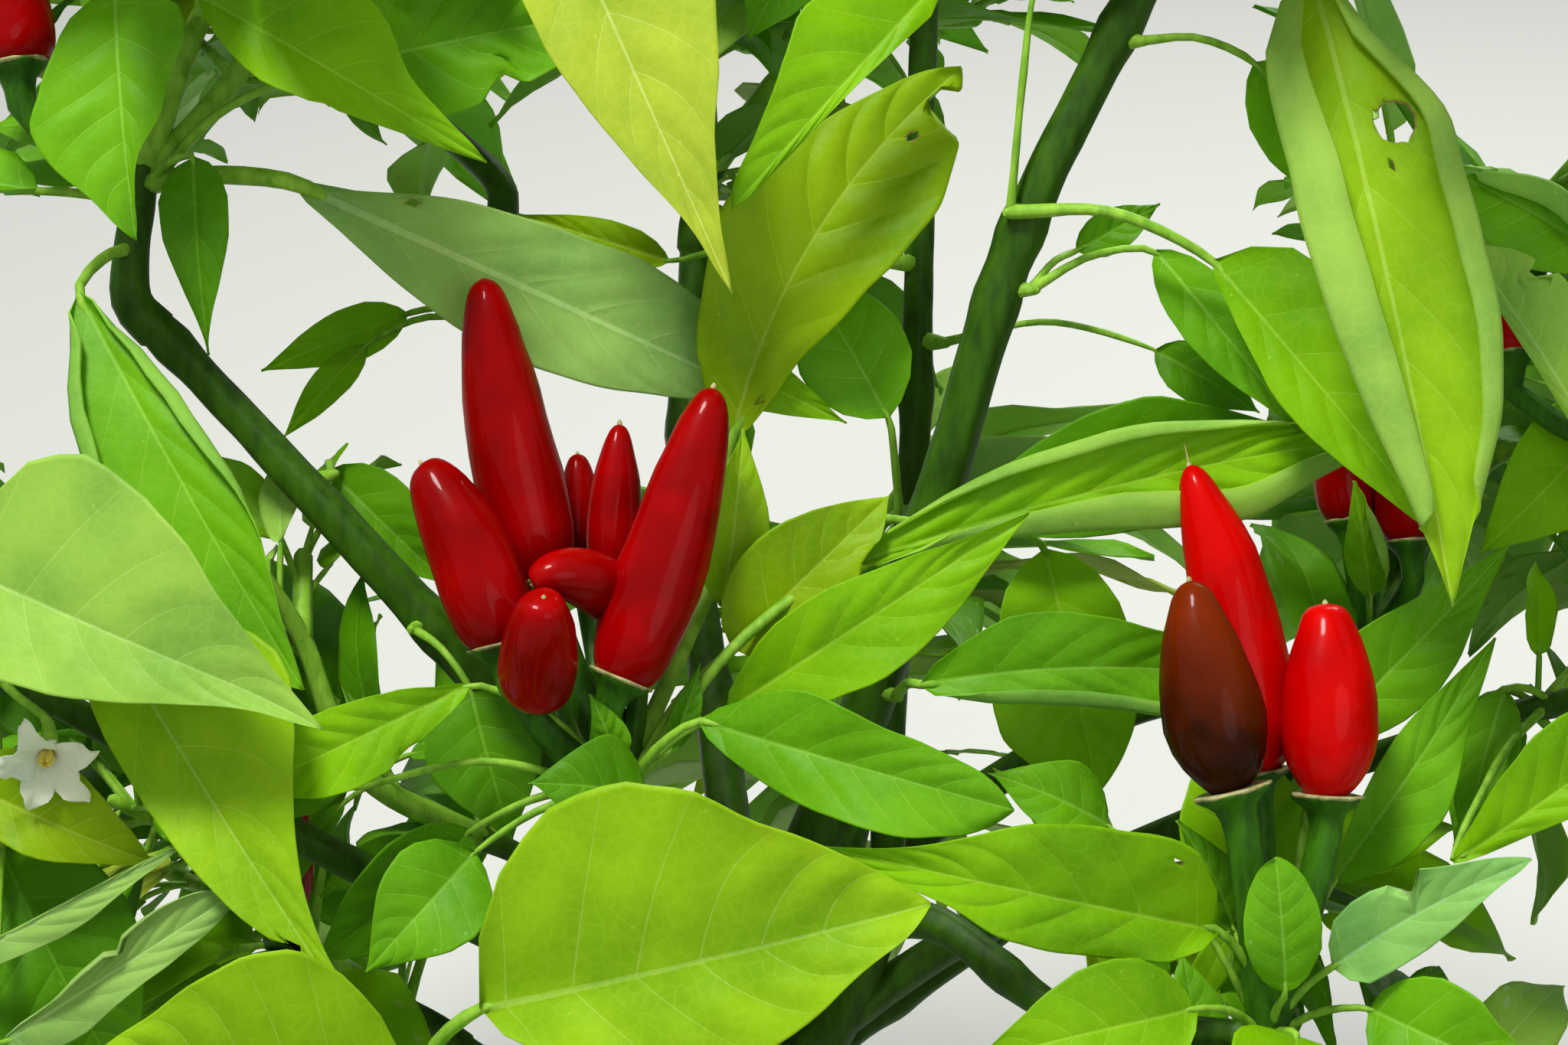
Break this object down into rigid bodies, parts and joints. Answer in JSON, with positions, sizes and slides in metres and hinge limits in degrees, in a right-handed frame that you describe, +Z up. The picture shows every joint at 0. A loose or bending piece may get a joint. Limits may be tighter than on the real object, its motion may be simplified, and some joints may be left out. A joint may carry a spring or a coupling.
{
  "type": "chilli pepper plant",
  "caption": "Chilli pepper plant rooted in the ground: a short trunk forking into green boughs, a full crown of pointed leaves and upright clusters of glossy red fruit",
  "frame": {"origin": "The middle of the flat cut under the trunk, at ground level", "axes": "+Z is up along the trunk. -Y is the show side, from which the picture was taken. +X is to the right seen from there."},
  "size_m": [0.5103, 0.3419, 0.5538],
  "materials": {
    "bark": "satin",
    "green_stem": "satin",
    "leaf": "satin",
    "red_fruit": "gloss",
    "brown_fruit": "gloss",
    "petal": "matte"
  },
  "bodies": {
    "root": {"trunk": "bark", "bough_left": "green_stem", "bough_right": "green_stem", "bough_middle": "green_stem", "bough_front_left": "green_stem", "bough_front_right": "green_stem", "bough_low_front": "green_stem", "bough_outer_left": "green_stem", "bough_outer_right": "green_stem", "bough_back_right": "green_stem", "bough_back": "green_stem", "bough_back_left": "green_stem", "bough_low_back": "green_stem", "bough_low_left": "green_stem", "bough_low_right": "green_stem", "bough_inner_left": "green_stem", "bough_inner_right": "green_stem", "mass_front_left": "leaf", "mass_front_right": "leaf", "mass_low_front": "leaf", "mass_outer_left": "leaf", "mass_left_top": "leaf", "mass_middle_top": "leaf", "mass_right_top": "leaf", "mass_outer_right": "leaf", "mass_back_right": "leaf", "mass_back": "leaf", "mass_back_left": "leaf", "mass_low_back": "leaf", "mass_low_left": "leaf", "mass_low_right": "leaf", "mass_inner_left": "leaf", "mass_inner_right": "leaf", "spray_left": "leaf", "spray_right_low": "leaf", "spray_right_mid": "leaf", "spray_right": "leaf", "spray_right_high": "leaf", "spray_middle_high": "leaf", "spray_middle": "leaf", "spray_middle_mid": "leaf", "spray_left_high": "leaf", "spray_back_left": "leaf", "spray_right_foot": "leaf", "fruit_left_1": "red_fruit", "fruit_left_2": "red_fruit", "fruit_left_3": "red_fruit", "fruit_left_4": "red_fruit", "fruit_left_5": "red_fruit", "fruit_left_6": "red_fruit", "fruit_left_7": "red_fruit", "fruit_right_1": "red_fruit", "fruit_right_2": "brown_fruit", "fruit_right_3": "red_fruit", "fruit_left_top": "red_fruit", "fruit_outer_right": "red_fruit", "fruit_back_right_1": "red_fruit", "fruit_back_right_2": "red_fruit", "fruit_back_right_3": "red_fruit", "flower_left": "petal"}
  },
  "joints": []
}
